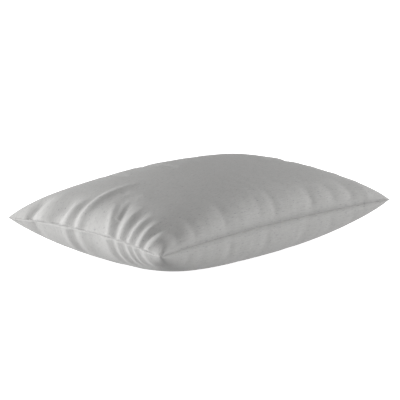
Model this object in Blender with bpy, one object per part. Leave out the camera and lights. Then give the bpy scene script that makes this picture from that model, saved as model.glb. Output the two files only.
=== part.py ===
"""A plain rectangular bed pillow, plumped up and lying on its lower panel.

Two woven cover panels are sewn together along a knife edge with the seam allowance turned in.
Inside them a thin non-woven liner, sewn the same way, holds the fibre filling.
X runs along the pillow, Y across it and Z up; the origin is under the middle, on the resting face.
"""
import math

import bmesh
import bpy
from mathutils import Vector

# Overall shape of the plumped pillow, metres
TIP_LENGTH = 0.720          # corner tip to corner tip along a long side
TIP_WIDTH = 0.480           # corner tip to corner tip along a short side
REST_DEPTH = 0.097          # seam line at the tips down to the resting face
SHORT_EDGE_BOW = 0.050      # share of the half length by which a short edge pulls in at its middle
LONG_EDGE_BOW = 0.118       # share of the half width by which a long edge pulls in at its middle
SHORT_EDGE_LIFT = 0.009     # how far the middle of a short edge arches above the tips
BOW_FADE = 3.0              # how fast the pulled-in edges fade towards the middle of the panel


class Bulge:
    """How one panel bulges from the seam: its depth and the exponents of its two sections."""

    def __init__(self, depth, length_power, length_fullness, width_power, width_fullness, rise):
        self.depth = depth
        self.length_power = length_power
        self.length_fullness = length_fullness
        self.width_power = width_power
        self.width_fullness = width_fullness
        self.rise = rise            # how gently the panel leaves a short seam

    def share(self, u, v):
        """Share of the full depth that is reached: 1 at the middle and 0 on the seam."""
        along = max(1e-9, 1 - abs(u) ** self.length_power)
        leaving = 1 - math.exp(-(along / self.rise) ** (1 - self.length_fullness))
        across = max(0.0, 1 - abs(v) ** self.width_power) ** self.width_fullness
        return along ** self.length_fullness * leaving * across


CROWN = Bulge(0.089, 1.6, 0.33, 1.95, 0.29, 0.06)
BELLY = Bulge(0.104, 2.5, 0.43, 2.25, 0.375, 0.04)

# Sewn layers, metres
CLEARANCE = 0.0005          # free gap between one layer and the next
COVER_THICKNESS = 0.0006
COVER_ALLOWANCE = 0.010     # turned-in seam allowance of the cover
COVER_SEAM_GAP = 0.0016     # between the two cover allowances, where the thread and the label lie
LINER_THICKNESS = 0.0004
LINER_ALLOWANCE = 0.007
LINER_SEAM_GAP = 0.0012
FOLD_WIDTH = 0.0015         # cloth doubled back at the fold of a seam
LAYER_STEP = 0.001          # free ring between one allowance and the next layer's edge
FILLING_RIM = 0.002         # height of the filling where its upper and lower halves meet

# Threads, metres
THREAD_RADIUS = 0.0002
COVER_THREAD_DROP = 0.0003  # the thread lies just below the label, between the allowances
SEAM_THREAD_INSET = 0.0008
CLOSING_THREAD_INSET = 0.0030
OPENING_SHARE = 0.55        # share of the far short edge that is left open to fill the pillow

# Care label, metres
LABEL_WIDTH = 0.030
LABEL_SHOWING = 0.018
LABEL_TUCKED = 0.006
LABEL_THICKNESS = 0.0003
LABEL_LIFT = 0.00035        # middle of the label above the seam line
LABEL_DROOP = 0.005         # how far its free end hangs down
LABEL_PLACE = 0.54          # position along the far long edge, as a share of the half length
LABEL_SEGMENTS = 6

# Mesh density
MERGE_DISTANCE = 1e-6
CELLS_LONG = 20
CELLS_SHORT = 14


class Layer:
    """One closed bag of cloth or fibre: how far it lies inside the outside of the cover."""

    def __init__(self, inset, depth, thickness, allowance, seam_gap):
        self.inset = inset
        self.depth = depth
        self.thickness = thickness
        self.allowance = allowance
        self.half_gap = seam_gap / 2


COVER = Layer(0.0, 0.0, COVER_THICKNESS, COVER_ALLOWANCE, COVER_SEAM_GAP)
LINER = Layer(COVER_ALLOWANCE + LAYER_STEP, COVER_THICKNESS + CLEARANCE,
              LINER_THICKNESS, LINER_ALLOWANCE, LINER_SEAM_GAP)
FILLING = Layer(LINER.inset + LINER_ALLOWANCE + LAYER_STEP, LINER.depth + LINER_THICKNESS + CLEARANCE,
                0.0, 0.0, FILLING_RIM)


def edge_weight(along, across):
    """1 at the middle of an edge, 0 at its two tips, fading towards the middle of the panel."""
    return (1 - along ** 2) * abs(across) ** BOW_FADE


def plan_point(u, v, inset):
    """Place of a panel point seen from above; u and v run from -1 to 1 between the edges."""
    x = (TIP_LENGTH / 2 - inset) * u * (1 - SHORT_EDGE_BOW * edge_weight(v, u))
    y = (TIP_WIDTH / 2 - inset) * v * (1 - LONG_EDGE_BOW * edge_weight(u, v))
    return x, y


def seam_height(u, v):
    """Height of the seam surface above the resting face."""
    return REST_DEPTH + SHORT_EDGE_LIFT * edge_weight(v, u)


def panel_height(u, v, side, depth, offset):
    """Height of a panel surface that lies depth inside the cover and starts offset from the seam."""
    if side > 0:
        return seam_height(u, v) + offset + (CROWN.depth - depth - offset) * CROWN.share(u, v)
    belly = seam_height(u, v) - offset - (BELLY.depth - depth - offset) * BELLY.share(u, v)
    return max(belly, depth)


def spread(position, cells):
    """Grid position as a share from -1 to 1, closer together towards the edges."""
    return math.sin(math.pi / 2 * (2 * position / cells - 1))


def station_layers(bm):
    """Layers that keep each vertex's (u, v), so that seam rings can be placed from it."""
    layers = bm.verts.layers.float
    return (layers.get("u") or layers.new("u"), layers.get("v") or layers.new("v"))


def add_dome(bm, side, inset, depth, offset):
    """Add one domed panel surface and return its boundary edges."""
    station_layers(bm)
    grid = bmesh.ops.create_grid(bm, x_segments=CELLS_LONG, y_segments=CELLS_SHORT, size=1.0)
    layer_u, layer_v = station_layers(bm)
    for vert in grid["verts"]:
        u = spread((vert.co.x + 1) / 2 * CELLS_LONG, CELLS_LONG)
        v = spread((vert.co.y + 1) / 2 * CELLS_SHORT, CELLS_SHORT)
        vert[layer_u], vert[layer_v] = u, v
        x, y = plan_point(u, v, inset)
        vert.co = Vector((x, y, panel_height(u, v, side, depth, offset)))
    return list({edge for vert in grid["verts"] for edge in vert.link_edges if edge.is_boundary})


def extrude_ring(bm, edges, inset, rise):
    """Extrude a boundary ring along the seam to an inset, and up by rise; return its new edges."""
    made = bmesh.ops.extrude_edge_only(bm, edges=edges)["geom"]
    layer_u, layer_v = station_layers(bm)
    for vert in (item for item in made if isinstance(item, bmesh.types.BMVert)):
        vert.co.x, vert.co.y = plan_point(vert[layer_u], vert[layer_v], inset)
        vert.co.z += rise
    return [item for item in made if isinstance(item, bmesh.types.BMEdge) and item.is_boundary]


def finish_object(name, bm, material):
    """Turn a bmesh into a named, smooth-shaded object with its faces pointing out."""
    bmesh.ops.remove_doubles(bm, verts=bm.verts[:], dist=MERGE_DISTANCE)
    bmesh.ops.recalc_face_normals(bm, faces=bm.faces[:])
    if bm.calc_volume(signed=True) < 0:
        bmesh.ops.reverse_faces(bm, faces=bm.faces[:])
    mesh = bpy.data.meshes.new(name)
    bm.to_mesh(mesh)
    bm.free()
    mesh.materials.append(material)
    mesh.shade_smooth()
    item = bpy.data.objects.new(name, mesh)
    bpy.context.scene.collection.objects.link(item)
    return item


def make_panel(name, layer, side, material):
    """One sewn panel: a domed shell whose seam allowance is turned in along the seam."""
    bm = bmesh.new()
    ring = add_dome(bm, side, layer.inset, layer.depth, layer.half_gap)
    allowance_inset = layer.inset + layer.allowance
    fold_inset = layer.inset + FOLD_WIDTH
    ring = extrude_ring(bm, ring, allowance_inset, 0.0)
    ring = extrude_ring(bm, ring, allowance_inset, side * layer.thickness)
    extrude_ring(bm, ring, fold_inset, 0.0)
    add_dome(bm, side, fold_inset, layer.depth + layer.thickness, layer.half_gap + layer.thickness)
    return finish_object(name, bm, material)


def make_filling(name, layer, material):
    """The fibre filling: one closed body with a shallow rim between its upper and lower halves."""
    bm = bmesh.new()
    upper_ring = add_dome(bm, 1, layer.inset, layer.depth, layer.half_gap)
    lower_ring = add_dome(bm, -1, layer.inset, layer.depth, layer.half_gap)
    bmesh.ops.bridge_loops(bm, edges=upper_ring + lower_ring)
    return finish_object(name, bm, material)


def seam_stations():
    """Stations once round the seam as (u, v), from the far edge's middle, tips cut off short."""
    along = [spread(i, CELLS_LONG) for i in range(1, CELLS_LONG)]
    across = [spread(j, CELLS_SHORT) for j in range(1, CELLS_SHORT)]
    start = len(across) // 2
    stations = [(1.0, v) for v in across[start:]]
    stations += [(u, 1.0) for u in reversed(along)]
    stations += [(-1.0, v) for v in reversed(across)]
    stations += [(u, -1.0) for u in along]
    stations += [(1.0, v) for v in across[:start]]
    return stations


def in_opening(station):
    """Whether a seam station lies on the stretch that is closed after filling."""
    u, v = station
    return u == 1.0 and abs(v) <= OPENING_SHARE


def make_thread(name, stations, inset, drop, material):
    """A sewing thread laid along the seam stations."""
    curve = bpy.data.curves.new(name, "CURVE")
    curve.dimensions = "3D"
    curve.bevel_depth = THREAD_RADIUS
    curve.bevel_resolution = 0
    curve.use_fill_caps = True
    spline = curve.splines.new("POLY")
    spline.points.add(len(stations) - 1)
    for point, (u, v) in zip(spline.points, stations):
        x, y = plan_point(u, v, inset)
        point.co = (x, y, seam_height(u, v) - drop, 1.0)
    curve.materials.append(material)
    item = bpy.data.objects.new(name, curve)
    bpy.context.scene.collection.objects.link(item)
    return item


def make_label(name, material):
    """A blank woven label caught in the far long seam, its free end hanging slightly down."""
    bm = bmesh.new()
    grid = bmesh.ops.create_grid(bm, x_segments=LABEL_SEGMENTS, y_segments=1, size=0.5)
    length = LABEL_TUCKED + LABEL_SHOWING
    for vert in grid["verts"]:
        along = (vert.co.x + 0.5) * length - LABEL_TUCKED
        droop = LABEL_DROOP * (max(0.0, along) / LABEL_SHOWING) ** 2
        vert.co = Vector((along, vert.co.y * LABEL_WIDTH, -droop))
    item = finish_object(name, bm, material)
    wall = item.modifiers.new("thickness", "SOLIDIFY")
    wall.thickness = LABEL_THICKNESS
    wall.offset = 0.0
    x, y = plan_point(LABEL_PLACE, 1.0, 0.0)
    x_ahead, y_ahead = plan_point(LABEL_PLACE + 0.01, 1.0, 0.0)
    item.location = (x, y, seam_height(LABEL_PLACE, 1.0) + LABEL_LIFT)
    item.rotation_euler.z = math.pi / 2 + math.atan2(y_ahead - y, x_ahead - x)
    return item


def make_material(name, colour, roughness):
    """A plain cloth-like finish."""
    material = bpy.data.materials.new(name)
    material.use_nodes = True
    shader = material.node_tree.nodes["Principled BSDF"]
    shader.inputs["Base Color"].default_value = (*colour, 1.0)
    shader.inputs["Roughness"].default_value = roughness
    shader.inputs["Metallic"].default_value = 0.0
    material.diffuse_color = (*colour, 1.0)
    return material


def build():
    """Clear the scene and build every piece of the pillow under one empty."""
    for item in list(bpy.data.objects):
        bpy.data.objects.remove(item)
    cover_cloth = make_material("cover_cloth", (0.52, 0.515, 0.505), 0.9)
    liner_cloth = make_material("liner_cloth", (0.78, 0.78, 0.77), 0.85)
    thread_grey = make_material("thread_grey", (0.50, 0.495, 0.485), 0.7)
    thread_white = make_material("thread_white", (0.80, 0.80, 0.79), 0.7)
    label_satin = make_material("label_satin", (0.85, 0.85, 0.84), 0.45)
    fibre = make_material("fibre", (0.88, 0.88, 0.87), 0.95)

    stations = seam_stations()
    open_stretch = [station for station in seam_stations() if in_opening(station)]
    open_stretch.sort(key=lambda station: station[1])
    sewn_stretch = [station for station in stations if not in_opening(station)]
    liner_inset = LINER.inset

    pieces = [
        make_panel("cover_top_panel", COVER, 1, cover_cloth),
        make_panel("cover_bottom_panel", COVER, -1, cover_cloth),
        make_thread("edge_seam_thread", sewn_stretch, SEAM_THREAD_INSET, COVER_THREAD_DROP, thread_grey),
        make_thread("closing_seam_thread", open_stretch, CLOSING_THREAD_INSET, COVER_THREAD_DROP, thread_grey),
        make_label("care_label", label_satin),
        make_panel("liner_top_panel", LINER, 1, liner_cloth),
        make_panel("liner_bottom_panel", LINER, -1, liner_cloth),
        make_thread("liner_seam_thread", sewn_stretch, liner_inset + SEAM_THREAD_INSET, 0.0, thread_white),
        make_thread("liner_closing_thread", open_stretch, liner_inset + CLOSING_THREAD_INSET, 0.0, thread_white),
        make_filling("fibre_filling", FILLING, fibre),
    ]
    pillow = bpy.data.objects.new("pillow", None)
    bpy.context.scene.collection.objects.link(pillow)
    for piece in pieces:
        piece.parent = pillow


build()
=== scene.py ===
"""Looks of a plain rectangular bed pillow, plumped up and lying on its lower panel.

X runs along the pillow, Y across it and Z up. The near short edge is the one at -X and the near
long edge is the one at -Y. A place on a panel is given by u along and v across, from -1 to 1
between the seams, and by its side, 1 for the upper panel and -1 for the lower one.
"""
import math

import bmesh
import bpy
import numpy as np
from mathutils import Matrix, Vector


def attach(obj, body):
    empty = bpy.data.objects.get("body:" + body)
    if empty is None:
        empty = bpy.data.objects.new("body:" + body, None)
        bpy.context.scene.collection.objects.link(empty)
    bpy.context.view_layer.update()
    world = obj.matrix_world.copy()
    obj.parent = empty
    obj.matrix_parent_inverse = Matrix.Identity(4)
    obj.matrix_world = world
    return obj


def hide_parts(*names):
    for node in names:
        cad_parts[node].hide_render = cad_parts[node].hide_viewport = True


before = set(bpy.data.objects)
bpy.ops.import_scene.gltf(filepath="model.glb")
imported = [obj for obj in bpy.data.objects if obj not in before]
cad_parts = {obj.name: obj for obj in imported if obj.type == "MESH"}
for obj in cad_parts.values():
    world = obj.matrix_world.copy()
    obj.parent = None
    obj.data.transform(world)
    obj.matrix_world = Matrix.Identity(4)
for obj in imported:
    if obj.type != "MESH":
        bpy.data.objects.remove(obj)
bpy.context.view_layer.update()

# ---- Cut and sewn sizes, metres
FLAT_LENGTH = 0.750         # seam to seam along the empty cover
FLAT_WIDTH = 0.500          # seam to seam across the empty cover
COVER_ALLOWANCE = 0.010
COVER_THICKNESS = 0.0006
LINER_ALLOWANCE = 0.007
LINER_THICKNESS = 0.0004
LINER_INSET = 0.011
LINER_DEPTH = 0.0036
FILLING_INSET = 0.019
FILLING_DEPTH = 0.0062

# ---- Overall plumped shape, metres
TIP_LENGTH = 0.720
TIP_WIDTH = 0.480
REST_DEPTH = 0.097
SHORT_EDGE_BOW = 0.050
LONG_EDGE_BOW = 0.118
SHORT_EDGE_LIFT = 0.009
BOW_FADE = 3.0
TIP_POINT = 0.004           # a corner is drawn to a point over about this distance
REST_ROUNDING = 0.010       # how softly the belly turns into its flat resting patch

UPPER = 1
LOWER = -1


class Bulge:
    """How one panel bulges from the seam: its depth and the exponents of its two sections."""

    def __init__(self, depth, length_power, length_fullness, width_power, width_fullness, rise):
        self.depth = depth
        self.length_power = length_power
        self.length_fullness = length_fullness
        self.width_power = width_power
        self.width_fullness = width_fullness
        self.rise = rise            # how gently the panel leaves a short seam

    def share(self, u, v):
        """Share of the full depth that is reached: 1 at the middle and 0 on the seam."""
        along = np.maximum(1e-9, 1 - np.abs(u) ** self.length_power)
        leaving = 1 - np.exp(-(along / self.rise) ** (1 - self.length_fullness))
        across = np.maximum(0.0, 1 - np.abs(v) ** self.width_power) ** self.width_fullness
        from_tip = np.hypot((1 - np.abs(u)) * TIP_LENGTH / 2, (1 - np.abs(v)) * TIP_WIDTH / 2)
        point = 1 - np.exp(-from_tip / TIP_POINT)
        return along ** self.length_fullness * leaving * across * point


CROWN = Bulge(0.089, 1.6, 0.33, 1.95, 0.29, 0.06)
BELLY = Bulge(0.104, 2.5, 0.43, 2.25, 0.375, 0.04)


# ---------------------------------------------------------------- plumped shape

def step(low, high, value):
    """Smooth step from 0 at low to 1 at high."""
    t = np.clip((value - low) / (high - low), 0.0, 1.0)
    return t * t * (3 - 2 * t)


def edge_weight(along, across):
    """1 at the middle of an edge, 0 at its two tips, fading towards the middle of the panel."""
    return (1 - along ** 2) * np.abs(across) ** BOW_FADE


def soft_floor(height, rounding):
    """Height kept above zero, with a soft turn into the flat part."""
    overlap = np.maximum(rounding - np.abs(height), 0.0) / rounding
    return np.maximum(height, 0.0) + overlap * overlap * rounding / 4


def seam_height(u, v):
    """Height of the seam surface above the floor."""
    return REST_DEPTH + SHORT_EDGE_LIFT * edge_weight(v, u)


def plumped(u, v, side, inset=0.0, depth=0.0):
    """Smooth plumped surface as an array of points, inset at the seam and depth inside."""
    x = (TIP_LENGTH / 2 - inset) * u * (1 - SHORT_EDGE_BOW * edge_weight(v, u))
    y = (TIP_WIDTH / 2 - inset) * v * (1 - LONG_EDGE_BOW * edge_weight(u, v))
    base = seam_height(u, v)
    if side == UPPER:
        z = base + (CROWN.depth - depth) * CROWN.share(u, v)
    else:
        z = soft_floor(base - BELLY.depth * BELLY.share(u, v), REST_ROUNDING)
        z = z + depth * BELLY.share(u, v)
    return np.stack(np.broadcast_arrays(x, y, z), axis=-1)


def unit(vectors):
    """Vectors scaled to length 1."""
    return vectors / np.maximum(np.linalg.norm(vectors, axis=-1, keepdims=True), 1e-12)


def outward(u, v, side):
    """Outward direction of the plumped surface."""
    reach = 0.004
    u0, u1 = np.clip(u - reach, -0.9995, 0.9995), np.clip(u + reach, -0.9995, 0.9995)
    v0, v1 = np.clip(v - reach, -0.9995, 0.9995), np.clip(v + reach, -0.9995, 0.9995)
    uc, vc = np.clip(u, -0.9995, 0.9995), np.clip(v, -0.9995, 0.9995)
    along = plumped(u1, vc, side) - plumped(u0, vc, side)
    across = plumped(uc, v1, side) - plumped(uc, v0, side)
    return unit(np.cross(along, across)) * side


# ---------------------------------------------------------------- cloth simulation

SIM_CELL = 0.010
SIM_FRAMES = 40
SIM_START_LOFT = 0.020
SIM_PRESSURE = 8.0
SIM_MASS = 0.05
SIM_STRETCH = 40.0
SIM_SHEAR = 10.0
SIM_BENDING = 0.05
WRINKLE_SPAN = 0.028        # the simulation keeps its wrinkles narrower than this
WRINKLE_GAIN = 0.25


def flat_cover():
    """The empty cover as it is sewn: two flat panels joined all round, slightly lofted."""
    bm = bmesh.new()
    cells_long = round(FLAT_LENGTH / SIM_CELL)
    cells_short = round(FLAT_WIDTH / SIM_CELL)
    bmesh.ops.create_grid(bm, x_segments=cells_long, y_segments=cells_short, size=1.0)
    upper = bm.verts[:]
    copy = bmesh.ops.duplicate(bm, geom=bm.verts[:] + bm.edges[:] + bm.faces[:])["geom"]
    bmesh.ops.reverse_faces(bm, faces=[item for item in copy if isinstance(item, bmesh.types.BMFace)])
    lower = [item for item in copy if isinstance(item, bmesh.types.BMVert)]
    for verts, side in ((upper, UPPER), (lower, LOWER)):
        for vert in verts:
            loft = max(0.0, (1 - vert.co.x ** 2) * (1 - vert.co.y ** 2)) ** 0.5
            vert.co = Vector((vert.co.x * FLAT_LENGTH / 2, vert.co.y * FLAT_WIDTH / 2,
                              side * SIM_START_LOFT * loft))
    bmesh.ops.remove_doubles(bm, verts=bm.verts[:], dist=1e-6)
    mesh = bpy.data.meshes.new("flat_cover")
    bm.to_mesh(mesh)
    bm.free()
    return mesh


def points_of(mesh):
    """Vertex places of a mesh as an array."""
    flat = np.empty(len(mesh.vertices) * 3, np.float32)
    mesh.vertices.foreach_get("co", flat)
    return flat.reshape(-1, 3).astype(float)


def inflate_cover():
    """Sew the empty cover, inflate it as cloth, and return both panels' points by cell corner."""
    mesh = flat_cover()
    start = points_of(mesh)
    cover = bpy.data.objects.new("flat_cover", mesh)
    bpy.context.scene.collection.objects.link(cover)
    cloth = cover.modifiers.new("cloth", "CLOTH")
    cloth.settings.quality = 5
    cloth.settings.mass = SIM_MASS
    cloth.settings.tension_stiffness = SIM_STRETCH
    cloth.settings.compression_stiffness = SIM_STRETCH
    cloth.settings.shear_stiffness = SIM_SHEAR
    cloth.settings.bending_stiffness = SIM_BENDING
    cloth.settings.use_pressure = True
    cloth.settings.uniform_pressure_force = SIM_PRESSURE
    cloth.settings.effector_weights.gravity = 0.0
    cloth.collision_settings.use_collision = False
    cloth.point_cache.frame_start = 1
    cloth.point_cache.frame_end = SIM_FRAMES
    for number in range(1, SIM_FRAMES + 1):
        bpy.context.scene.frame_set(number)
    graph = bpy.context.evaluated_depsgraph_get()
    inflated = cover.evaluated_get(graph)
    points = points_of(inflated.to_mesh())
    inflated.to_mesh_clear()
    bpy.data.objects.remove(cover)
    bpy.data.meshes.remove(mesh)
    bpy.context.scene.frame_set(1)
    cells_long = round(FLAT_LENGTH / SIM_CELL)
    cells_short = round(FLAT_WIDTH / SIM_CELL)
    panels = {}
    row = np.round((start[:, 0] / FLAT_LENGTH + 0.5) * cells_long).astype(int)
    column = np.round((start[:, 1] / FLAT_WIDTH + 0.5) * cells_short).astype(int)
    for side in (UPPER, LOWER):
        panel = np.zeros((cells_long + 1, cells_short + 1, 3))
        mine = start[:, 2] * side > -1e-9
        panel[row[mine], column[mine]] = points[mine]
        panels[side] = panel
    return panels


def blur_matrix(count, spread):
    """Row-normalised Gaussian weights between count equally spaced stations."""
    gap = np.arange(count)[:, None] - np.arange(count)[None, :]
    weights = np.exp(-0.5 * (gap / spread) ** 2)
    return weights / weights.sum(axis=1, keepdims=True)


def carried_on(rows, margin):
    """Rows of points carried on past both ends, turned about the end points."""
    before = 2 * rows[:1] - rows[1:margin + 1][::-1]
    after = 2 * rows[-1:] - rows[-margin - 1:-1][::-1]
    return np.concatenate([before, rows, after], axis=0)


def fine_wrinkles(panels):
    """What is left of each simulated panel once its overall shape is taken away."""
    margin = 24
    spread = WRINKLE_SPAN / SIM_CELL
    wrinkles = {}
    for side in (UPPER, LOWER):
        sheet = carried_on(panels[side], margin)
        sheet = carried_on(sheet.transpose(1, 0, 2), margin).transpose(1, 0, 2)
        rows = blur_matrix(sheet.shape[0], spread)
        columns = blur_matrix(sheet.shape[1], spread)
        smooth = np.einsum("ij,jkc->ikc", rows, sheet)
        smooth = np.einsum("ij,kjc->kic", columns, smooth)
        wrinkles[side] = (sheet - smooth)[margin:-margin, margin:-margin]
    return wrinkles


def cubic_weights(stations, count):
    """Matrix that reads a row of count equally spaced values at stations from -1 to 1."""
    place = (stations + 1) / 2 * (count - 1)
    start = np.clip(np.floor(place).astype(int), 0, count - 2)
    t = place - start
    curves = (
        -0.5 * t + t ** 2 - 0.5 * t ** 3,
        1 - 2.5 * t ** 2 + 1.5 * t ** 3,
        0.5 * t + 2 * t ** 2 - 1.5 * t ** 3,
        -0.5 * t ** 2 + 0.5 * t ** 3,
    )
    matrix = np.zeros((len(stations), count))
    for offset, curve in enumerate(curves):
        column = np.clip(start + offset - 1, 0, count - 1)
        np.add.at(matrix, (np.arange(len(stations)), column), curve)
    return matrix


# ---------------------------------------------------------------- folds drawn in by the seams

FOLD_POWER = 1.8             # a fold's section, a little flatter on top than a bell curve
FOLD_BEGIN = 0.002          # a fold reaches its full height this far past its start
FOLD_FADE = 0.30            # share of the reach after which it dies out


class Fold:
    """A fold that starts at a seam: where, how far it reaches in, and its section."""

    def __init__(self, place, reach, height, width, lean=0.0, spread=1.6, start=0.0):
        self.place = place / 1000      # along the seam from its middle
        self.reach = reach / 1000      # inwards from the seam
        self.height = height / 1000    # above the smooth surface, negative for a hollow
        self.width = width / 1000      # half width at the seam
        self.lean = lean / 1000        # sideways shift at its inner end
        self.spread = spread           # widening at its inner end
        self.start = start / 1000      # how far in it begins

    def rise(self, along, inwards):
        """Rise of the fold at places along the seam and inwards from it."""
        share = inwards / self.reach
        centre = self.place + self.lean * share
        width = self.width * (1 + (self.spread - 1) * np.clip(share, 0, 1))
        section = np.exp(-np.abs((along - centre) / width) ** FOLD_POWER)
        begin = step(self.start, self.start + FOLD_BEGIN, inwards)
        fade = 1 - step(FOLD_FADE, 1.0, share)
        return self.height * section * begin * fade


# Millimetres: place, reach, height, half width, lean, widening, start. Crests and hollows
# take turns along a gathered seam, and each list runs from one end of its seam to the other.
NEAR_SHORT_UPPER = [
    Fold(177, 70, -8.0, 11, -8, 1.3),
    Fold(142, 120, 3.5, 17, -6, 1.5),
    Fold(108, 85, -6.0, 15, -26, 1.2),
    Fold(94, 65, -4.0, 8, -12, 1.3),
    Fold(71, 80, 4.0, 9, -4, 1.3),
    Fold(49, 125, -4.0, 8, 2, 1.3),
    Fold(28, 240, 6.5, 11, 6, 1.4),
    Fold(-66, 95, 4.0, 9, 54, 1.3),
    Fold(-79, 130, 1.8, 5, 50, 1.5, 30),
    Fold(-86, 120, -4.5, 8, 44, 1.6),
    Fold(-102, 115, 4.0, 8, 16, 1.3),
    Fold(-119, 95, -3.5, 7, 4, 1.3),
    Fold(-133, 95, 3.2, 6, 0, 1.3),
    Fold(-149, 80, -2.8, 6, 0, 1.3),
    Fold(-164, 90, 3.2, 6, 0, 1.3),
    Fold(-177, 80, -3.8, 6, -16, 1.3),
    Fold(-196, 75, 5.0, 11, -22, 1.4),
]
NEAR_SHORT_LOWER = [
    Fold(162, 45, -3.0, 11, -2),
    Fold(68, 70, 3.0, 10, 2),
    Fold(47, 75, -2.5, 11, 2),
    Fold(26, 70, 1.5, 11, 2),
    Fold(-10, 70, -2.5, 22, 0),
    Fold(-60, 65, 3.0, 13, 0),
    Fold(-78, 65, -2.2, 7, -2),
    Fold(-94, 70, 2.2, 8, -2),
    Fold(-111, 70, -2.2, 8, -4),
    Fold(-127, 65, 1.8, 6, -4),
    Fold(-138, 65, -1.8, 6, -4),
    Fold(-150, 60, 1.8, 7, -4),
    Fold(-165, 60, -1.6, 7, -6),
    Fold(-188, 65, 3.2, 14, -6),
]
NEAR_LONG_UPPER = [
    Fold(-296, 105, -5.0, 22, 0, 2.4),
    Fold(-240, 85, -2.2, 13, 6),
    Fold(-186, 60, 1.2, 14, 4),
    Fold(-140, 80, -2.6, 12, 4),
    Fold(-84, 55, 1.2, 14, 2),
    Fold(-30, 65, -1.6, 10, 2),
    Fold(16, 75, -2.4, 12, 0),
    Fold(72, 60, 1.2, 14, -2),
    Fold(130, 65, -2.6, 11, -3),
    Fold(194, 65, -1.8, 13, -5),
    Fold(250, 80, -3.0, 14, -7, 1.8),
    Fold(296, 60, 1.4, 12, -4),
]
NEAR_LONG_LOWER = [
    Fold(-262, 34, -1.0, 10, 3),
    Fold(-216, 36, -1.0, 11, 3),
    Fold(-124, 40, -1.6, 12, 2),
    Fold(-60, 32, 0.8, 10, 0),
    Fold(-8, 34, -1.0, 10, 0),
    Fold(110, 38, -1.4, 11, -2),
    Fold(188, 34, -1.0, 9, -3),
    Fold(256, 30, -1.2, 11, -3),
]
FAR_SHORT_UPPER = [
    Fold(-168, 60, 1.5, 6, -4), Fold(-120, 80, 1.7, 6, -2), Fold(-62, 90, 1.5, 7, 3),
    Fold(-8, 60, 1.1, 7, 2), Fold(48, 110, 1.8, 7, -3), Fold(95, 70, 1.5, 6, 4),
    Fold(150, 60, 1.5, 6, 6), Fold(-143, 60, -1.3, 7, -2), Fold(-90, 70, -1.3, 8, 0),
    Fold(-34, 70, -1.1, 8, 2), Fold(72, 70, -1.3, 7, 2), Fold(124, 70, -1.4, 8, 5),
]
FAR_SHORT_LOWER = [
    Fold(-150, 40, 1.8, 6, -6), Fold(-98, 44, 1.8, 7, -4), Fold(-40, 40, 1.6, 8, -2),
    Fold(22, 42, 1.8, 7, 2), Fold(74, 44, 1.8, 7, 4), Fold(132, 38, 1.8, 6, 7),
    Fold(-70, 40, -1.4, 8, -3), Fold(48, 40, -1.4, 8, 3), Fold(104, 40, -1.6, 8, 5),
]
FAR_LONG_UPPER = [
    Fold(-246, 54, -1.0, 12, 8), Fold(-160, 50, -0.9, 12, 5), Fold(-70, 48, -0.8, 11, 3),
    Fold(10, 46, -0.7, 12, 0), Fold(96, 50, -0.9, 11, -4), Fold(178, 54, -0.9, 12, -5),
    Fold(250, 50, -1.0, 11, -8),
]
FAR_LONG_LOWER = [
    Fold(-220, 30, -0.8, 10, 5), Fold(-118, 28, -0.7, 10, 3), Fold(-10, 28, -0.7, 10, 0),
    Fold(84, 28, -0.7, 10, -2), Fold(176, 30, -0.8, 10, -4), Fold(250, 30, -0.8, 10, -5),
]


def folded(u, v, side):
    """Rise of all the folds that the four seams draw in, above the smooth surface."""
    x = u * TIP_LENGTH / 2
    y = v * TIP_WIDTH / 2
    from_short = (1 - np.abs(u)) * FLAT_LENGTH / 2
    from_long = (1 - np.abs(v)) * FLAT_WIDTH / 2
    upper = side == UPPER
    rise = np.zeros(np.broadcast(u, v).shape)
    for folds, near in ((NEAR_SHORT_UPPER if upper else NEAR_SHORT_LOWER, u < 0),
                        (FAR_SHORT_UPPER if upper else FAR_SHORT_LOWER, u > 0)):
        for fold in folds:
            rise = rise + np.where(near, fold.rise(y, from_short), 0.0)
    for folds, near in ((NEAR_LONG_UPPER if upper else NEAR_LONG_LOWER, v < 0),
                        (FAR_LONG_UPPER if upper else FAR_LONG_LOWER, v > 0)):
        for fold in folds:
            rise = rise + np.where(near, fold.rise(x, from_long), 0.0)
    return rise


# ---------------------------------------------------------------- seams

SEAM_ROLL = 0.0012          # distance over which a panel rolls into the seam
SHORT_SEAM_SINK = 0.0009    # how far a short seam lies behind the rolled edges
LONG_SEAM_SINK = 0.0004
SEAM_HALF_GAP = 0.0002
SHORT_BEAD = 0.0010         # the turned-in allowance swells the lower panel beside the seam
LONG_BEAD = 0.0006
BEAD_PLACE = 0.0014
BEAD_WIDTH = 0.0010
SHORT_PUCKER = 0.00035      # height of the small puckers between stitches
LONG_PUCKER = 0.00010
PUCKER_REACH = 0.010
CORNER_REACH = 0.030        # rolls, beads and puckers die out this close to a corner
OPENING_SHARE = 0.55        # share of the far short edge that is closed after filling
OPENING_BLEND = 0.03
LIP_WIDTH = 0.0045          # that stretch is pressed flat and topstitched
LIP_BLEND = 2.4
LIP_HALF_THICKNESS = 0.0006


def ripple(along):
    """Uneven ripple along a seam, about 10 mm from crest to crest."""
    return (np.sin(along * 590 + 1.9 * np.sin(along * 47)) * 0.6
            + np.sin(along * 371 + 1.3 * np.sin(along * 29 + 1.0)) * 0.4)


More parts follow.
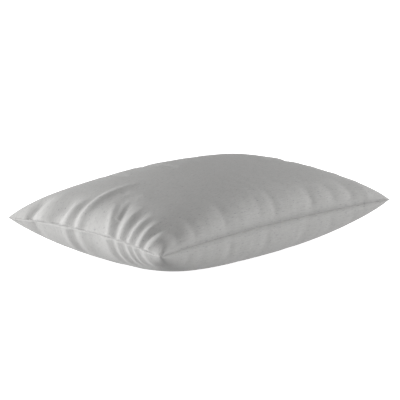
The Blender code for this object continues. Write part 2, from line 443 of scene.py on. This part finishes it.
def sewn_edge(points, u, v, side):
    """Roll a panel's rim into the seam, with its bead, its puckers and the flat closing lip."""
    from_short = (1 - np.abs(u)) * FLAT_LENGTH / 2
    from_long = (1 - np.abs(v)) * FLAT_WIDTH / 2
    seams = (
        (0, from_short, from_long, np.sign(u), points[..., 1],
         SHORT_SEAM_SINK, SHORT_BEAD, SHORT_PUCKER),
        (1, from_long, from_short, np.sign(v), points[..., 0],
         LONG_SEAM_SINK, LONG_BEAD, LONG_PUCKER),
    )
    for axis, inwards, to_corner, sign, along, depth, bead, height in seams:
        sink = depth * (1 - step(0.0, SEAM_ROLL, inwards))
        swell = bead * np.exp(-((inwards - BEAD_PLACE) / BEAD_WIDTH) ** 2) * (side == LOWER)
        pucker = height * ripple(along) * np.exp(-(inwards / PUCKER_REACH) ** 2)
        points[..., axis] += sign * (swell + pucker - sink) * step(0.0, CORNER_REACH, to_corner)
    nearest = np.minimum(from_short, from_long)
    points[..., 2] += side * SEAM_HALF_GAP * (1 - step(0.0, SEAM_ROLL, nearest))
    ends = (OPENING_SHARE - OPENING_BLEND, OPENING_SHARE + OPENING_BLEND)
    opening = (u > 0) * (1 - step(*ends, np.abs(v)))
    pressed = opening * (1 - step(LIP_WIDTH, LIP_WIDTH * LIP_BLEND, from_short))
    level = seam_height(u, v) + side * LIP_HALF_THICKNESS
    points[..., 2] = points[..., 2] * (1 - pressed) + level * pressed
    return points


class Cover:
    """The outside of the pillow: smooth shape, simulated wrinkles, folds and sewn edges."""

    def __init__(self, wrinkles):
        self.wrinkles = wrinkles

    def calm(self, u, v):
        """Share of the simulated wrinkles that is kept beside the folds in the lists."""
        near_short = (1 + u) * FLAT_LENGTH / 2
        near_long = (1 + v) * FLAT_WIDTH / 2
        return step(0.02, 0.14, near_short) * (0.25 + 0.75 * step(0.10, 0.30, near_long))

    def relief(self, u, v, side):
        """Everything that stands off the smooth shape, as vectors over stations u by v."""
        grid_u, grid_v = np.meshgrid(u, v, indexing="ij")
        direction = outward(grid_u, grid_v, side)
        relief = folded(grid_u, grid_v, side)[..., None] * direction
        if self.wrinkles is not None:
            field = self.wrinkles[side]
            rows = cubic_weights(u, field.shape[0])
            columns = cubic_weights(v, field.shape[1])
            fine = np.einsum("ij,jkc->ikc", rows, field)
            fine = np.einsum("ij,kjc->kic", columns, fine)
            relief = relief + WRINKLE_GAIN * fine * self.calm(grid_u, grid_v)[..., None]
        return relief

    def layer(self, u, v, side, inset=0.0, depth=0.0, share=1.0):
        """A layer of the pillow over stations u by v; share is how much relief it keeps."""
        grid_u, grid_v = np.meshgrid(u, v, indexing="ij")
        points = plumped(grid_u, grid_v, side, inset, depth)
        points = points + share * self.relief(u, v, side)
        if inset == 0.0:
            points = sewn_edge(points, grid_u, grid_v, side)
        points[..., 2] = np.maximum(points[..., 2], depth if side == LOWER else 0.0)
        return points


# ---------------------------------------------------------------- pieces

def stations(cells, crowding):
    """Stations from -1 to 1, closer together towards the seams."""
    even = np.linspace(-1.0, 1.0, cells + 1)
    return even * (1 - crowding) + crowding * np.sin(math.pi / 2 * even)


def finish_piece(name, bm, material):
    """Turn a bmesh into a linked, smooth object at the origin."""
    mesh = bpy.data.meshes.new(name)
    bm.to_mesh(mesh)
    bm.free()
    mesh.materials.append(material)
    mesh.shade_smooth()
    piece = bpy.data.objects.new(name, mesh)
    bpy.context.scene.collection.objects.link(piece)
    return piece


def lay_out(bm, points, u, v):
    """Add a grid of cells and move its corners onto the points; returns the new corners."""
    made = bmesh.ops.create_grid(bm, x_segments=len(u) - 1, y_segments=len(v) - 1, size=1.0)["verts"]
    for vert in made:
        i = round((vert.co.x + 1) / 2 * (len(u) - 1))
        j = round((vert.co.y + 1) / 2 * (len(v) - 1))
        vert.co = Vector(points[i, j])
    return made


def cloth_spread(u, v, side, inset):
    """How far the cloth runs along and across from the middle to each station, over the bulge."""
    grid_u, grid_v = np.meshgrid(u, v, indexing="ij")
    points = plumped(grid_u, grid_v, side, inset)
    reaches = []
    for axis, count in ((0, len(u)), (1, len(v))):
        gaps = np.linalg.norm(np.diff(points, axis=axis), axis=-1)
        walked = np.insert(np.cumsum(gaps, axis=axis), 0, 0.0, axis=axis)
        middle = np.take(walked, [count // 2], axis=axis)
        reaches.append(walked - middle)
    return reaches


def make_panel(name, cover, side, material, inset, depth, share, allowance, thickness, cells):
    """One sewn panel: cloth of real thickness whose seam allowance is turned in."""
    u, v = stations(cells[0], 0.75), stations(cells[1], 0.75)
    points = cover.layer(u, v, side, inset, depth, share)
    reach_x, reach_y = cloth_spread(u, v, side, inset)
    bm = bmesh.new()
    cloth_x, cloth_y, place_u, place_v = (bm.verts.layers.float.new(word)
                                          for word in ("cloth_x", "cloth_y", "u", "v"))
    made = bmesh.ops.create_grid(bm, x_segments=cells[0], y_segments=cells[1], size=1.0)["verts"]
    for vert in made:
        i = round((vert.co.x + 1) / 2 * cells[0])
        j = round((vert.co.y + 1) / 2 * cells[1])
        vert[cloth_x], vert[cloth_y] = reach_x[i, j], reach_y[i, j]
        vert[place_u], vert[place_v] = u[i], v[j]
        vert.co = Vector(points[i, j])
    rim = [edge for edge in bm.edges if edge.is_boundary]
    turned = bmesh.ops.extrude_edge_only(bm, edges=rim)["geom"]
    for vert in (item for item in turned if isinstance(item, bmesh.types.BMVert)):
        inner = plumped(vert[place_u], vert[place_v], side, inset + allowance)
        vert.co.x, vert.co.y = inner[0], inner[1]
        vert.co.z += side * 0.0001
        vert[cloth_x] += allowance * (vert[place_u] > 0.9999) - allowance * (vert[place_u] < -0.9999)
        vert[cloth_y] += allowance * (vert[place_v] > 0.9999) - allowance * (vert[place_v] < -0.9999)
    if side == LOWER:
        bmesh.ops.reverse_faces(bm, faces=bm.faces[:])
    cloth_uv = bm.loops.layers.uv.new("cloth")
    for face in bm.faces:
        for loop in face.loops:
            loop[cloth_uv].uv = (loop.vert[cloth_x], loop.vert[cloth_y])
    piece = finish_piece(name, bm, material)
    wall = piece.modifiers.new("cloth thickness", "SOLIDIFY")
    wall.thickness = thickness
    wall.offset = -1.0
    return piece


def make_filling(name, cover, material):
    """The fibre filling: one closed, slightly lumpy body."""
    u, v = stations(110, 0.5), stations(74, 0.5)
    bm = bmesh.new()
    for side in (UPPER, LOWER):
        points = cover.layer(u, v, side, FILLING_INSET, FILLING_DEPTH, 0.5)
        made = lay_out(bm, points, u, v)
        if side == LOWER:
            faces = list({face for vert in made for face in vert.link_faces})
            bmesh.ops.reverse_faces(bm, faces=faces)
    bmesh.ops.remove_doubles(bm, verts=bm.verts[:], dist=1e-5)
    return finish_piece(name, bm, material)


STITCH_PITCH = 0.0030
STITCH_LENGTH = 0.0024
THREAD_RADIUS = 0.00022


def seam_path(inset, count=2000):
    """Places once round the seam at an inset, each with the share (u, v) that it lies at."""
    rounds = []
    long_side = np.linspace(-0.995, 0.995, count)
    short_side = np.linspace(-0.995, 0.995, count)
    rounds.append((np.full(count, 1.0), short_side))
    rounds.append((long_side[::-1], np.full(count, 1.0)))
    rounds.append((np.full(count, -1.0), short_side[::-1]))
    rounds.append((long_side, np.full(count, -1.0)))
    u = np.concatenate([item[0] for item in rounds])
    v = np.concatenate([item[1] for item in rounds])
    points = plumped(u, v, UPPER, inset)
    points[:, 2] = seam_height(u, v)
    return u, v, points


def even_places(u, v, points, keep):
    """Places one stitch apart along the kept part of a path, each with its direction."""
    gap = np.linalg.norm(np.diff(points, axis=0), axis=1)
    walked = np.concatenate([[0.0], np.cumsum(gap)])
    marks = np.arange(STITCH_PITCH / 2, walked[-1], STITCH_PITCH)
    spot = np.stack([np.interp(marks, walked, points[:, k]) for k in range(3)], axis=1)
    ahead = np.stack([np.interp(marks + 0.0005, walked, points[:, k]) for k in range(3)], axis=1)
    wanted = np.interp(marks, walked, keep.astype(float)) > 0.5
    return spot[wanted], unit(ahead - spot + 1e-12)[wanted]


def stitch_shape():
    """One stitch lying along Z, round at both ends."""
    bm = bmesh.new()
    bmesh.ops.create_uvsphere(bm, u_segments=6, v_segments=4, radius=1.0)
    bmesh.ops.scale(bm, verts=bm.verts[:], vec=(THREAD_RADIUS, THREAD_RADIUS, STITCH_LENGTH / 2))
    mesh = bpy.data.meshes.new("stitch")
    bm.to_mesh(mesh)
    bm.free()
    return mesh


def make_stitches(name, rows, material):
    """A run of thread showing as short raised stitches; rows hold places and directions."""
    stitch = stitch_shape()
    bm = bmesh.new()
    for spots, directions in rows:
        for spot, direction in zip(spots, directions):
            turn = Vector(direction).to_track_quat("Z", "Y").to_matrix().to_4x4()
            place = Matrix.Translation(Vector(spot)) @ turn
            stitch.transform(place)
            bm.from_mesh(stitch)
            stitch.transform(place.inverted())
    bpy.data.meshes.remove(stitch)
    return finish_piece(name, bm, material)


LABEL_WIDTH = 0.030
LABEL_SHOWING = 0.018
LABEL_TUCKED = 0.006
LABEL_THICKNESS = 0.00025
LABEL_DROOP = 0.005
LABEL_PLACE = 0.54


def make_label(name, material):
    """A blank woven label, folded over at its free end, caught in the far long seam."""
    bm = bmesh.new()
    run = 2 * (LABEL_TUCKED + LABEL_SHOWING)
    cells = 48
    made = bmesh.ops.create_grid(bm, x_segments=10, y_segments=cells, size=0.5)["verts"]
    root = plumped(np.array(LABEL_PLACE), np.array(1.0), UPPER)
    ahead = plumped(np.array(LABEL_PLACE + 0.01), np.array(1.0), UPPER)
    tangent = Vector((ahead[0] - root[0], ahead[1] - root[1], 0.0)).normalized()
    out = Vector((-tangent.y, tangent.x, 0.0))
    level = float(seam_height(np.array(LABEL_PLACE), np.array(1.0)))
    origin = Vector((root[0], root[1], level))
    uv = bm.loops.layers.uv.new("cloth")
    flats = {}
    for vert in made:
        across = vert.co.x * LABEL_WIDTH
        along = (vert.co.y + 0.5) * run
        half = run / 2
        gone = half - abs(along - half)
        side = 1 if along < half else -1
        showing = gone - LABEL_TUCKED
        bend = max(0.0, showing) / LABEL_SHOWING
        fold = math.sqrt(max(0.0, 1 - max(0.0, 1 - (half - gone) / 0.0006) ** 2))
        apart = 0.00018 + 0.0004 * step(0.3, 1.0, bend)
        lift = side * apart * fold - LABEL_DROOP * bend ** 2
        curl = 0.0006 * (2 * vert.co.x) ** 2 * bend
        flats[vert] = (vert.co.x * LABEL_WIDTH, along)
        vert.co = origin + tangent * across + out * showing + Vector((0, 0, lift - curl))
    for face in bm.faces:
        for loop in face.loops:
            loop[uv].uv = flats[loop.vert]
    bmesh.ops.recalc_face_normals(bm, faces=bm.faces[:])
    piece = finish_piece(name, bm, material)
    wall = piece.modifiers.new("tape thickness", "SOLIDIFY")
    wall.thickness = LABEL_THICKNESS
    wall.offset = 0.0
    return piece


# ---------------------------------------------------------------- finishes

class Port:
    """A shader value; Python's operators on it add the Math nodes."""

    def __init__(self, shader, socket):
        self.shader = shader
        self.socket = socket

    def math(self, operation, other=None, swap=False):
        """Add one Math node on this value and another value or number."""
        values = [self] if other is None else [self, other]
        if swap:
            values.reverse()
        return self.shader.node("ShaderNodeMath", {"operation": operation},
                                dict(enumerate(values)))

    def __add__(self, other):
        return self.math("ADD", other)

    def __radd__(self, other):
        return self.math("ADD", other)

    def __sub__(self, other):
        return self.math("SUBTRACT", other)

    def __rsub__(self, other):
        return self.math("SUBTRACT", other, swap=True)

    def __mul__(self, other):
        return self.math("MULTIPLY", other)

    def __rmul__(self, other):
        return self.math("MULTIPLY", other)

    def __truediv__(self, other):
        return self.math("DIVIDE", other)

    def __rtruediv__(self, other):
        return self.math("DIVIDE", other, swap=True)

    def __pow__(self, other):
        return self.math("POWER", other)


class Shader:
    """A procedural finish being put together."""

    def __init__(self, name):
        self.material = bpy.data.materials.new(name)
        self.material.use_nodes = True
        self.tree = self.material.node_tree
        self.surface = self.tree.nodes["Principled BSDF"]

    def node(self, kind, settings=None, inputs=None, output=0):
        """Add a node: its type, its settings, then the values or links of its sockets."""
        made = self.tree.nodes.new(kind)
        for key, value in (settings or {}).items():
            setattr(made, key, value)
        for key, value in (inputs or {}).items():
            if isinstance(value, Port):
                self.tree.links.new(value.socket, made.inputs[key])
            else:
                made.inputs[key].default_value = value
        return Port(self, made.outputs[output])

    def feed(self, socket, value):
        """Link a value to a socket of the surface, or set it there."""
        if isinstance(value, Port):
            self.tree.links.new(value.socket, self.surface.inputs[socket])
        else:
            self.surface.inputs[socket].default_value = value

    def cloth_place(self):
        """Place on the flat cloth, in metres."""
        return self.node("ShaderNodeUVMap", {"uv_map": "cloth"})

    def object_place(self):
        """Place in the pillow, in metres."""
        return self.node("ShaderNodeTexCoord", output="Object")

    def scaled(self, place, x, y, z=1.0):
        """A place with each direction scaled."""
        return self.node("ShaderNodeVectorMath", {"operation": "MULTIPLY"}, {0: place, 1: (x, y, z)})

    def noise(self, place, scale, detail=2.0, roughness=0.5, distortion=0.0):
        """Soft noise from 0 to 1."""
        return self.node("ShaderNodeTexNoise", {"noise_dimensions": "3D"},
                         {"Vector": place, "Scale": scale, "Detail": detail,
                          "Roughness": roughness, "Distortion": distortion})

    def band(self, value, low, high, bottom=0.0, top=1.0):
        """A value moved smoothly from bottom to top as it goes from low to high."""
        return self.node("ShaderNodeMapRange", {"interpolation_type": "SMOOTHSTEP"},
                         {"Value": value, "From Min": low, "From Max": high,
                          "To Min": bottom, "To Max": top})

    def mix(self, share, first, second):
        """Blend of two colours."""
        return self.node("ShaderNodeMix", {"data_type": "RGBA"},
                         {"Factor": share, 6: first, 7: second}, output=2)

    def bump(self, height, distance, strength=1.0, under=None):
        """Surface relief from a height value."""
        inputs = {"Height": height, "Distance": distance, "Strength": strength}
        if under is not None:
            inputs["Normal"] = under
        return self.node("ShaderNodeBump", None, inputs)


YARNS_PER_METRE = 1700.0


def woven_relief(shader, place, yarns):
    """Height of a plain weave: warp and weft yarns that pass over and under each other."""
    parts = shader.node("ShaderNodeSeparateXYZ", None, {0: place})
    x = Port(shader, parts.socket.node.outputs[0])
    y = Port(shader, parts.socket.node.outputs[1])
    warp = (x * (yarns * math.pi)).math("SINE")
    weft = (y * (yarns * math.pi)).math("SINE")
    return warp * weft * 0.5 + 0.5


def cover_finish():
    """Light grey flecked plain weave with uneven yarns that run along the pillow."""
    shader = Shader("flecked_cotton_weave")
    place = shader.cloth_place()
    weave = woven_relief(shader, place, YARNS_PER_METRE)
    slub = shader.noise(shader.scaled(place, 34.0, 520.0), 1.0, 2.0, 0.6)
    yarn = shader.noise(shader.scaled(place, 110.0, 1500.0, 1.0), 1.0, 1.0)
    filling_yarn = shader.noise(shader.scaled(place, 1300.0, 90.0), 1.0, 1.0)
    tone = slub * 0.58 + yarn * 0.36 + filling_yarn * 0.06
    fleck_field = shader.noise(shader.scaled(place, 110.0, 520.0), 1.0, 0.0)
    flecks = shader.band(fleck_field, 0.68, 0.78)
    short_field = shader.noise(shader.scaled(place, 260.0, 700.0, 2.0), 1.0, 0.0)
    short_flecks = shader.band(short_field, 0.70, 0.79)
    pale_field = shader.noise(shader.scaled(place, 150.0, 640.0, 3.0), 1.0, 0.0)
    pale_flecks = shader.band(pale_field, 0.72, 0.82)
    cloud = shader.noise(place, 16.0, 3.0, 0.6)
    cloth = shader.mix(shader.band(tone, 0.34, 0.66), (0.352, 0.349, 0.343, 1), (0.408, 0.405, 0.398, 1))
    cloth = shader.mix(shader.band(cloud, 0.3, 0.7, 0.0, 0.18), cloth, (0.350, 0.348, 0.344, 1))
    cloth = shader.mix(weave * 0.10, cloth, (0.28, 0.277, 0.272, 1))
    cloth = shader.mix(flecks * 0.50, cloth, (0.170, 0.174, 0.184, 1))
    cloth = shader.mix(short_flecks * 0.4, cloth, (0.20, 0.20, 0.203, 1))
    cloth = shader.mix(pale_flecks * 0.35, cloth, (0.52, 0.515, 0.505, 1))
    shader.feed("Base Color", cloth)
    shader.feed("Roughness", shader.band(tone, 0.3, 0.7, 0.82, 0.94))
    relief = shader.bump(tone, 0.0003, 0.35)
    relief = shader.bump(weave, 0.00014, 0.5, relief)
    shader.feed("Normal", relief)
    shader.feed("Sheen Weight", 0.08)
    shader.feed("Sheen Roughness", 0.5)
    shader.feed("Specular IOR Level", 0.2)
    return shader.material


def liner_finish():
    """White bonded non-woven cloth: random short fibres and faint pressed dots."""
    shader = Shader("bonded_liner")
    place = shader.cloth_place()
    fibres = shader.noise(shader.scaled(place, 420.0, 900.0), 1.0, 4.0, 0.65, 1.2)
    crossing = shader.noise(shader.scaled(place, 900.0, 380.0, 3.0), 1.0, 4.0, 0.65, 1.0)
    dots = shader.node("ShaderNodeTexVoronoi", {"feature": "F1"},
                       {"Vector": place, "Scale": 420.0, "Randomness": 0.15})
    pressed = shader.band(dots, 0.18, 0.30)
    web = fibres * 0.5 + crossing * 0.5
    colour = shader.mix(shader.band(web, 0.3, 0.7), (0.70, 0.70, 0.69, 1), (0.86, 0.86, 0.85, 1))
    colour = shader.mix(0.25 - pressed * 0.25, colour, (0.62, 0.62, 0.61, 1))
    shader.feed("Base Color", colour)
    shader.feed("Roughness", shader.band(web, 0.3, 0.7, 0.75, 0.9))
    shader.feed("Normal", shader.bump(web * 0.4 + pressed * 0.6, 0.0002, 0.6))
    shader.feed("Sheen Weight", 0.08)
    return shader.material


def thread_finish(name, dark, light):
    """Twisted sewing thread."""
    shader = Shader(name)
    place = shader.object_place()
    twist = shader.noise(place, 2600.0, 2.0)
    shader.feed("Base Color", shader.mix(shader.band(twist, 0.35, 0.65), dark, light))
    shader.feed("Roughness", shader.band(twist, 0.3, 0.7, 0.55, 0.75))
    shader.feed("Normal", shader.bump(twist, 0.00006, 0.6))
    shader.feed("Sheen Weight", 0.1)
    return shader.material


def label_finish():
    """White satin tape: long floats across."""
    shader = Shader("satin_tape")
    place = shader.cloth_place()
    floats = shader.noise(shader.scaled(place, 260.0, 5200.0), 1.0, 2.0)
    ribs = woven_relief(shader, place, 2600.0)
    colour = shader.mix(shader.band(floats, 0.3, 0.7), (0.80, 0.80, 0.79, 1), (0.90, 0.90, 0.89, 1))
    shader.feed("Base Color", colour)
    shader.feed("Roughness", shader.band(floats, 0.3, 0.7, 0.32, 0.5))
    shader.feed("Normal", shader.bump(floats * 0.7 + ribs * 0.3, 0.00008, 0.6))
    shader.feed("Sheen Weight", 0.2)
    return shader.material


def fibre_finish():
    """Crimped white polyester fibre, with painted shade in the hollows between its tufts."""
    shader = Shader("crimped_fibre")
    place = shader.object_place()
    crimp = shader.noise(shader.scaled(place, 160.0, 160.0, 260.0), 1.0, 5.0, 0.7, 2.4)
    tufts = shader.noise(place, 38.0, 3.0, 0.55, 0.8)
    colour = shader.mix(shader.band(crimp, 0.3, 0.7), (0.74, 0.74, 0.73, 1), (0.92, 0.92, 0.91, 1))
    # Painted shade: the fibre is mixed towards a darker grey in the low places between tufts, where
    # shade falls.
    tuft_hollow_shade = shader.band(tufts, 0.35, 0.7, 0.25, 0.0)
    shader.feed("Base Color", shader.mix(tuft_hollow_shade, colour, (0.66, 0.66, 0.65, 1)))
    shader.feed("Roughness", shader.band(crimp, 0.3, 0.7, 0.85, 0.98))
    shader.feed("Normal", shader.bump(crimp * 0.5 + tufts * 0.5, 0.0014, 0.7))
    shader.feed("Sheen Weight", 0.25)
    return shader.material


def floor_finish():
    """Plain pale matt floor."""
    shader = Shader("pale_floor")
    grain = shader.noise(shader.object_place(), 60.0, 2.0)
    shader.feed("Base Color", shader.mix(grain * 0.02, (0.93, 0.93, 0.93, 1), (0.88, 0.88, 0.88, 1)))
    shader.feed("Roughness", 0.9)
    shader.feed("Specular IOR Level", 0.1)
    shader.feed("Emission Color", (1.0, 1.0, 1.0, 1.0))
    shader.feed("Emission Strength", 0.80)
    return shader.material


# ---------------------------------------------------------------- stage

VIEW_AZIMUTH = -44.97
VIEW_ELEVATION = 13.92
VIEW_DISTANCE = 6.765
VIEW_LENS = 275.0
VIEW_SENSOR = 36.0
SHIFT_X = -0.00275
SHIFT_Y = 0.02077


def make_floor(material):
    """A wide plain floor just under the pillow."""
    bm = bmesh.new()
    bmesh.ops.create_grid(bm, x_segments=1, y_segments=1, size=14.0)
    bmesh.ops.translate(bm, verts=bm.verts[:], vec=(0.0, 0.0, -0.0004))
    floor = finish_piece("floor", bm, material)
    floor.visible_diffuse = False
    return floor


def make_camera():
    """Camera at the height and turn from which the pillow is seen."""
    azimuth = math.radians(VIEW_AZIMUTH)
    elevation = math.radians(VIEW_ELEVATION)
    back = Vector((math.sin(azimuth) * math.cos(elevation),
                   -math.cos(azimuth) * math.cos(elevation), math.sin(elevation)))
    camera = bpy.data.objects.new("camera", bpy.data.cameras.new("camera"))
    camera.data.sensor_width = VIEW_SENSOR
    camera.data.lens = VIEW_LENS
    camera.data.shift_x = SHIFT_X
    camera.data.shift_y = SHIFT_Y
    camera.location = Vector((0.0, 0.0, REST_DEPTH)) + back * VIEW_DISTANCE
    camera.rotation_euler = (-back).to_track_quat("-Z", "Y").to_euler()
    bpy.context.scene.collection.objects.link(camera)
    bpy.context.scene.camera = camera


def make_light(name, direction, distance, size, power, colour=(1.0, 1.0, 1.0)):
    """A square soft light aimed at the pillow from a direction."""
    light = bpy.data.lights.new(name, "AREA")
    light.size = size
    light.energy = power
    light.color = colour
    item = bpy.data.objects.new(name, light)
    towards = Vector(direction).normalized()
    item.location = Vector((0.0, 0.0, 0.1)) + towards * distance
    item.rotation_euler = (-towards).to_track_quat("-Z", "Y").to_euler()
    bpy.context.scene.collection.objects.link(item)


def make_lights():
    """Soft studio light: a low key from the left, a lower-powered one from the right, pale surround."""
    make_light("key", (-0.819, 0.573, 0.035), 3.0, 1.0, 148.0)
    make_light("side", (0.766, -0.643, 0.035), 3.0, 1.0, 108.0)
    make_light("high", (-0.455, 0.455, 0.766), 3.0, 1.0, 17.0)
    world = bpy.data.worlds.new("surround")
    world.use_nodes = True
    world.node_tree.nodes["Background"].inputs["Color"].default_value = (1.0, 1.0, 1.0, 1.0)
    world.node_tree.nodes["Background"].inputs["Strength"].default_value = 0.50
    bpy.context.scene.world = world
    bpy.context.scene.view_settings.view_transform = "Standard"


def place_piece(piece, node):
    """Let a piece stand for its CAD node and ride on the pillow."""
    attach(piece, "root")
    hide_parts(node)


def build():
    """Make every piece of the pillow."""
    wrinkles = fine_wrinkles(inflate_cover())
    cover = Cover(wrinkles)
    cloth = cover_finish()
    liner = liner_finish()
    cover_thread = thread_finish("cover_thread", (0.33, 0.327, 0.32, 1), (0.44, 0.436, 0.43, 1))
    liner_thread = thread_finish("liner_thread", (0.70, 0.70, 0.69, 1), (0.85, 0.85, 0.84, 1))
    panels = []
    for word, side in (("top", UPPER), ("bottom", LOWER)):
        panel = make_panel(f"cover_{word}", cover, side, cloth, 0.0, 0.0, 1.0,
                           COVER_ALLOWANCE, COVER_THICKNESS, (240, 160))
        place_piece(panel, f"cover_{word}_panel")
        lining = make_panel(f"liner_{word}", cover, side, liner, LINER_INSET, LINER_DEPTH, 0.7,
                            LINER_ALLOWANCE, LINER_THICKNESS, (110, 74))
        place_piece(lining, f"liner_{word}_panel")
        panels += [panel, lining]
    filling = make_filling("filling", cover, fibre_finish())
    place_piece(filling, "fibre_filling")

    label = make_label("label", label_finish())
    place_piece(label, "care_label")

    u, v, path = seam_path(SHORT_SEAM_SINK)
    opening = (u > 0.999) & (np.abs(v) <= OPENING_SHARE)
    seam = make_stitches("seam_stitches", [even_places(u, v, path, ~opening)], cover_thread)
    place_piece(seam, "edge_seam_thread")
    u, v, path = seam_path(0.0025)
    rows = []
    for side in (UPPER, LOWER):
        spots, directions = even_places(u, v, path, (u > 0.999) & (np.abs(v) <= OPENING_SHARE))
        spots = spots + np.array([0.0, 0.0, side * 0.0007])
        rows.append((spots, directions))
    closing = make_stitches("closing_stitches", rows, cover_thread)
    place_piece(closing, "closing_seam_thread")
    for name, node, kept in (("liner_stitches", "liner_seam_thread", False),
                             ("liner_closing_stitches", "liner_closing_thread", True)):
        u, v, path = seam_path(LINER_INSET + 0.0008)
        opening = (u > 0.999) & (np.abs(v) <= OPENING_SHARE)
        run = make_stitches(name, [even_places(u, v, path, opening if kept else ~opening)], liner_thread)
        place_piece(run, node)


build()
make_floor(floor_finish())
make_camera()
make_lights()
